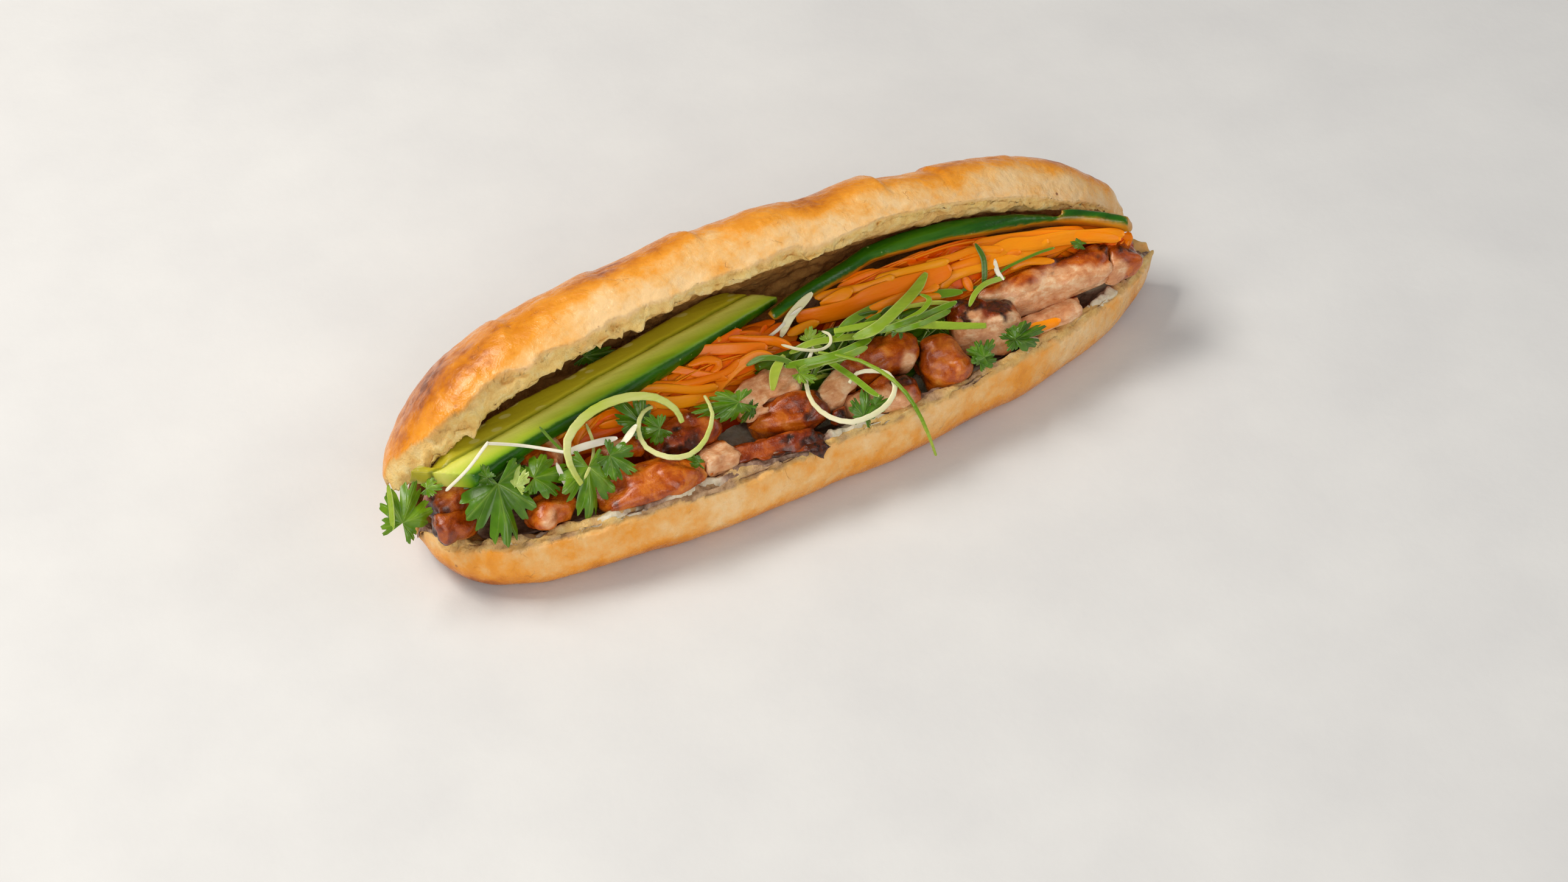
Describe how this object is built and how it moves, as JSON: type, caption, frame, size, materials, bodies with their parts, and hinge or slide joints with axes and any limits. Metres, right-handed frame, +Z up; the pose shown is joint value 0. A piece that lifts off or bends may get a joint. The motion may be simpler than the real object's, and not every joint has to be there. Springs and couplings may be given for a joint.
{
  "type": "sandwich",
  "caption": "Banh mi sandwich: a split baguette standing open along its front, filled with grilled chicken, shredded carrot, cucumber, spring onion curls and coriander.",
  "frame": {"origin": "the middle of the underside, on the surface that the sandwich stands on", "axes": "+X along the loaf, towards its pointed end; -Y towards the open front; +Z up"},
  "size_m": [0.3044, 0.0972, 0.0771],
  "materials": {
    "bread": "baked crust, satin, with a matte torn crumb",
    "spread": "soft, slightly moist paste",
    "cucumber": "moist, smooth skin and wet cut faces",
    "carrot": "moist shreds, satin",
    "chicken": "grilled and glazed, glossy and uneven",
    "spring_onion": "smooth, moist strips",
    "coriander": "soft fresh leaf, satin"
  },
  "bodies": {
    "root": {"bread": "bread", "carrot_left": "carrot", "carrot_right": "carrot", "chicken_behind_leaf": "chicken", "chicken_big": "chicken", "chicken_burnt_bit": "chicken", "chicken_char_top": "chicken", "chicken_charred": "chicken", "chicken_end": "chicken", "chicken_flap": "chicken", "chicken_flat_slice": "chicken", "chicken_glazed_back": "chicken", "chicken_glazed_front": "chicken", "chicken_golden": "chicken", "chicken_long_slice": "chicken", "chicken_pale_band": "chicken", "chicken_pink": "chicken", "chicken_red": "chicken", "chicken_round": "chicken", "chicken_seared": "chicken", "chicken_strip": "chicken", "chicken_tip_lower": "chicken", "chicken_tip_upper": "chicken", "chicken_under_slice": "chicken", "coriander_01": "coriander", "coriander_02": "coriander", "coriander_03": "coriander", "coriander_04": "coriander", "coriander_05": "coriander", "coriander_06": "coriander", "coriander_07": "coriander", "coriander_08": "coriander", "coriander_09": "coriander", "coriander_10": "coriander", "coriander_11": "coriander", "coriander_12": "coriander", "cucumber_left": "cucumber", "cucumber_right": "cucumber", "curl_arch": "spring_onion", "curl_loop": "spring_onion", "curl_ring": "spring_onion", "hanging_strand": "spring_onion", "kinked_strand": "spring_onion", "long_blade": "spring_onion", "spread": "spread", "spring_onion_heap": "spring_onion"}
  },
  "joints": []
}
